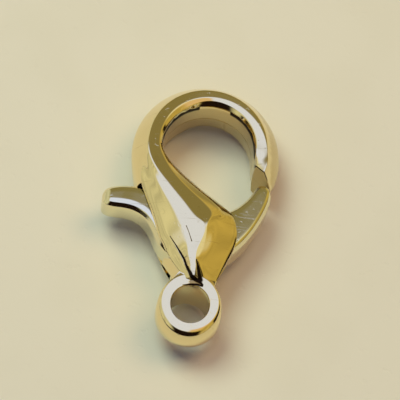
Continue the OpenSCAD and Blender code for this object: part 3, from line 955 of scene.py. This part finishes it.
def build_slot():
    """The solid that cuts the slot for the lever."""
    steps = [step / WALL_STEPS for step in range(WALL_STEPS + 1)]
    inside = [around(PIVOT, HEEL_RADIUS * (HEEL_GAP - HEEL_GAP_LESS * step),
                     WALL_START + (WALL_END - WALL_START) * step) for step in steps]
    outline = [*SLOT_OUTLINE, around(PIVOT, WALL_REACHES, WALL_START), *inside, SLOT_CORNER]
    return prism("slot", outline, -SLOT_HALF, SLOT_HALF)


def build_slit():
    """The solid that cuts the gap in the closed wall."""
    along = (SLIT_END - SLIT_TOP).normalized()
    across = Vector((-along.y, along.x, 0.0)) * SLIT_DEPTH
    lift = Vector((0, 0, SLIT_HALF))
    bm = bmesh.new()
    corners = (SLIT_TOP, SLIT_END + lift, SLIT_END - lift)
    face = bm.faces.new([bm.verts.new(corner - across) for corner in corners])
    grown = bmesh.ops.extrude_face_region(bm, geom=[face])["geom"]
    bmesh.ops.translate(bm, verts=vertices_of(grown), vec=2 * across)
    bmesh.ops.recalc_face_normals(bm, faces=bm.faces[:])
    return new_object("slit", bm)


def build_body(material):
    """The casting: hook, cheeks, neck and ring in one, with its hole, slot, slit and pin hole."""
    body = build_hook_and_cheeks()
    combined(body, sloped(prism("neck", NECK_OUTLINE, -NECK_TOP, NECK_TOP)), "UNION")
    combined(body, sloped(spun("ring", mirrored(RING_PROFILE)), shift=FACE_SHIFT), "UNION")
    combined(body, sloped(spun("hole", mirrored(HOLE_PROFILE)), HOLE_CENTRE), "DIFFERENCE")
    combined(body, build_slot(), "DIFFERENCE")
    combined(body, build_slit(), "DIFFERENCE")
    combined(body, round_bar("pin_hole", PIN_HOLE_RADIUS, PIN_HOLE_LOW, PIN_HOLE_TOP), "DIFFERENCE")
    return finished(body, "case", "cast_gold", material, BODY_SHARP_ANGLE, "body")


# The lever

# Stations from the tab's end to the gate's tip: the upper and lower point, and the most that the top rises
LEVER_STATIONS = [
    # upper, lower, most
    ((-4.10, 4.74), (-4.09, 4.48), 0.36),
    ((-4.03, 4.92), (-4.04, 4.33), 0.53),
    ((-3.90, 5.04), (-3.90, 4.24), 0.65),
    ((-3.72, 5.13), (-3.72, 4.19), 0.725),
    ((-3.42, 5.22), (-3.42, 4.18), 0.75),
    ((-3.05, 5.265), (-3.12, 4.19), 0.75),
    ((-2.65, 5.255), (-2.82, 4.15), 0.75),
    ((-2.20, 5.205), (-2.52, 4.04), 0.75),
    ((-1.70, 5.09), (-2.25, 3.87), 0.75),
    ((-1.20, 4.95), (-1.97, 3.52), 0.75),
    ((-0.70, 4.79), (-1.77, 3.10), 0.75),
    ((-0.20, 4.62), (-1.52, 2.66), 0.75),
    ((0.10, 4.54), (-1.12, 2.33), 0.75),
    ((0.35, 4.50), (-0.57, 2.03), 0.75),
    ((0.60, 4.495), (0.04, 1.95), 0.75),
    ((0.86, 4.53), (0.65, 2.12), 0.75),
    ((1.15, 4.62), (1.26, 2.45), 0.75),
    ((1.50, 4.86), (1.80, 3.02), 0.75),
    ((1.85, 5.22), (2.20, 3.60), 0.75),
    ((2.075, 5.58), (2.53, 4.26), 0.75),
    ((2.22, 5.88), (2.76, 4.84), 0.75),
    ((2.34, 6.02), (2.88, 5.30), 0.75),
    ((2.47, 6.06), (2.895, 5.62), 0.74),
    ((2.60, 5.97), (2.80, 5.79), 0.68),
]
# The lever's edge from its flat face to its side: how far in, and the height
EDGE_STEPS = [(0.0, 0.28), (0.015, 0.52), (0.16, 0.71), (0.30, 0.75)]
EDGE_SHARP = [0.2, 0.6, 0.6, 0.75]
LEVER_END_SHARP = 0.5
# The most of a narrow station's width that one edge takes up
EDGE_MOST = 0.42
# The space round the pin in the lever: its bore, a pocket for the spring, a groove for the upper leg and a
# notch for the lower one, each cut through to above the lever
BORE_RADIUS = 0.37
POCKET_RADIUS = 0.72
POCKET_LOW = 0.116
CUT_TOP = 1.0
LEG_GROOVE = [(0.43, 0.0), (0.65, 0.0), (0.65, 0.83), (0.43, 0.83)]
LEG_NOTCH = [(0.65, 0.0), (-0.27, 0.0), (-0.367, -2.916), (0.65, -2.92)]


def lever_loop(station):
    """The closed loop of points of a station of the lever, over its front and round its back."""
    upper, lower, most = Vector(station[0]), Vector(station[1]), station[2]
    width = (lower - upper).length
    fit = min(1.0, EDGE_MOST * width / EDGE_STEPS[-1][0])
    shares = [(inset * fit / width, min(height, most)) for inset, height in EDGE_STEPS]
    front = [*shares, *[(1 - share, height) for share, height in reversed(shares)]]
    back = [(share, -height) for share, height in reversed(front)]
    return placed_along(upper, lower, [*front, *back])


def build_lever(material):
    """The lever with its gate, boss and thumb tab, and the space for the pin and the spring."""
    sharp = [*EDGE_SHARP, *reversed(EDGE_SHARP)] * 2
    loops = [lever_loop(station) for station in LEVER_STATIONS]
    bm = loft(loops, [sharp] * len(loops), end_sharpness=(LEVER_END_SHARP, LEVER_END_SHARP))
    lever = smoothed(new_object("lever_skin", bm))
    combined(lever, round_bar("bore", BORE_RADIUS, -CUT_TOP, CUT_TOP), "DIFFERENCE")
    combined(lever, round_bar("pocket", POCKET_RADIUS, POCKET_LOW, CUT_TOP), "DIFFERENCE")
    for name, outline in (("leg_groove", LEG_GROOVE), ("leg_notch", LEG_NOTCH)):
        by_pin = [(x + PIVOT.x, y + PIVOT.y) for x, y in outline]
        combined(lever, prism(name, by_pin, POCKET_LOW, CUT_TOP), "DIFFERENCE")
    return finished(lever, "trigger", "lever_gold", material, LEVER_SHARP_ANGLE, "lever")


# The pin and the spring

# The pin from its riveted back end to its blind front end, as radius and height
PIN_OUTLINE = [
    (0.0, -1.345), (0.12, -1.34), (0.22, -1.32), (0.29, -1.285), (0.33, -1.24), (0.34, -1.19), (0.34, 1.12),
    (0.32, 1.15), (0.29, 1.16), (0.0, 1.16),
]
PIN_STEPS = 64
WIRE_RADIUS = 0.06
WIRE_SIDES = 12
COIL_RADIUS = 0.54
COIL_PITCH = 0.138
COIL_TURNS = 3
COIL_START = 0.226
TURN_STEPS = 40
LEG_DOWN = 2.0
LEG_UP = 0.78


def build_pin(material):
    """The pivot pin."""
    pin = spun("pin_skin", PIN_OUTLINE, PIN_STEPS)
    for vertex in pin.data.vertices:
        vertex.co.x += PIVOT.x
        vertex.co.y += PIVOT.y
    return finished(pin, "case", "pin_gold", material, SMALL_SHARP_ANGLE, "pivot_pin")


def build_spring(material):
    """Three turns of wire wound up round the pin, with a straight leg at each end."""
    bm = bmesh.new()
    ring = bmesh.ops.create_circle(bm, segments=WIRE_SIDES, radius=WIRE_RADIUS)["verts"]
    bmesh.ops.rotate(bm, verts=ring, cent=(0, 0, 0), matrix=Matrix.Rotation(math.pi / 2, 3, "X"))
    bmesh.ops.translate(bm, verts=ring, vec=(PIVOT.x + COIL_RADIUS, PIVOT.y, COIL_START))
    start = bm.edges[:]
    wound = bmesh.ops.spin(bm, geom=ring + start, cent=(PIVOT.x, PIVOT.y, 0), axis=(0, 0, 1),
                           dvec=(0, 0, COIL_PITCH / TURN_STEPS), angle=2 * math.pi * COIL_TURNS,
                           steps=COIL_TURNS * TURN_STEPS)
    for edges, slide in ((start, -LEG_DOWN), (edges_of(wound["geom_last"]), LEG_UP)):
        grown = bmesh.ops.extrude_edge_only(bm, edges=edges)["geom"]
        bmesh.ops.translate(bm, verts=vertices_of(grown), vec=(0, slide, 0))
        rim = [edge for edge in edges_of(grown) if len(edge.link_faces) == 1]
        bmesh.ops.contextual_create(bm, geom=rim)
    bmesh.ops.recalc_face_normals(bm, faces=bm.faces[:])
    spring = new_object("spring_wire", bm)
    finished(spring, None, "spring_steel", material, SMALL_SHARP_ANGLE, "return_spring")
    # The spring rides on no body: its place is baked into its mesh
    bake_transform(spring)
    return spring


build_camera()
build_surroundings()
build_floor(floor_material())
build_lights()
bpy.context.scene.view_settings.view_transform = "Standard"

body_gold = metal_material("pale_gold", BODY_GOLD, rough=0.05, waves=520.0, cover=0.30,
                           shade_and_scratch_lines=BODY_SHADE_LINES_AND_SCRATCH, shade_and_pits=SLOT_SHADE_AND_PITS, brown_and_shade_patches=BODY_BROWN_AND_SHADE)
lever_gold = metal_material("lever_pale_gold", LEVER_GOLD, rough=0.06, waves=620.0, cover=0.28)
pin_gold = metal_material("pin_pale_gold", BODY_GOLD, rough=0.12, waves=900.0, cover=0.42)
spring_steel = metal_material("drawn_steel_wire", STEEL, rough=0.2, waves=2500.0, cover=0.2)
build_body(body_gold)
build_lever(lever_gold)
build_pin(pin_gold)
build_spring(spring_steel)
